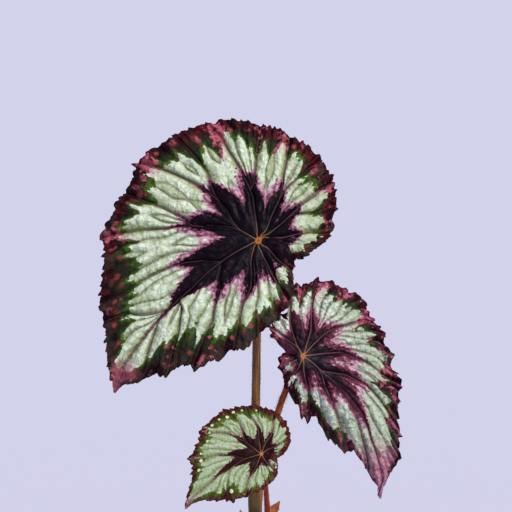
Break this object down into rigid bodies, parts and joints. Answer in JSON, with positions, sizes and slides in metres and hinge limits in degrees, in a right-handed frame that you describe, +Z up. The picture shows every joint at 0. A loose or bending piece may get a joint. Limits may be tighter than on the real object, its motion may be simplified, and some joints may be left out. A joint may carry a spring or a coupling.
{
  "type": "potted rex begonia",
  "caption": "Rex begonia with silver-banded, toothed leaves on bristly stalks, growing from a short stem in a plain clay pot of soil.",
  "frame": {"origin": "centre of the pot's underside, on the surface it stands on", "axes": "+Z up along the pot's axis, +X to the plant's right as pictured, -Y towards the front"},
  "size_m": [0.1918, 0.13, 0.386],
  "materials": {
    "terracotta": "unglazed matt clay",
    "soil": "loose peaty crumbs",
    "stem_bark": "rough, fleshy",
    "olive_stalk": "satin, streaked, fine hairs",
    "red_stalk": "satin, fine hairs",
    "papery_scale": "dry and papery",
    "leaf_blade": "satin, puckered, silver zone round a dark centre"
  },
  "bodies": {
    "root": {"pot": "terracotta", "soil": "soil", "rhizome": "stem_bark", "petiole_large": "olive_stalk", "petiole_right": "red_stalk", "petiole_small": "red_stalk", "stipule_front": "papery_scale", "stipule_left": "papery_scale", "stipule_back": "papery_scale", "leaf_large": "leaf_blade", "leaf_right": "leaf_blade", "leaf_small": "leaf_blade"}
  },
  "joints": []
}
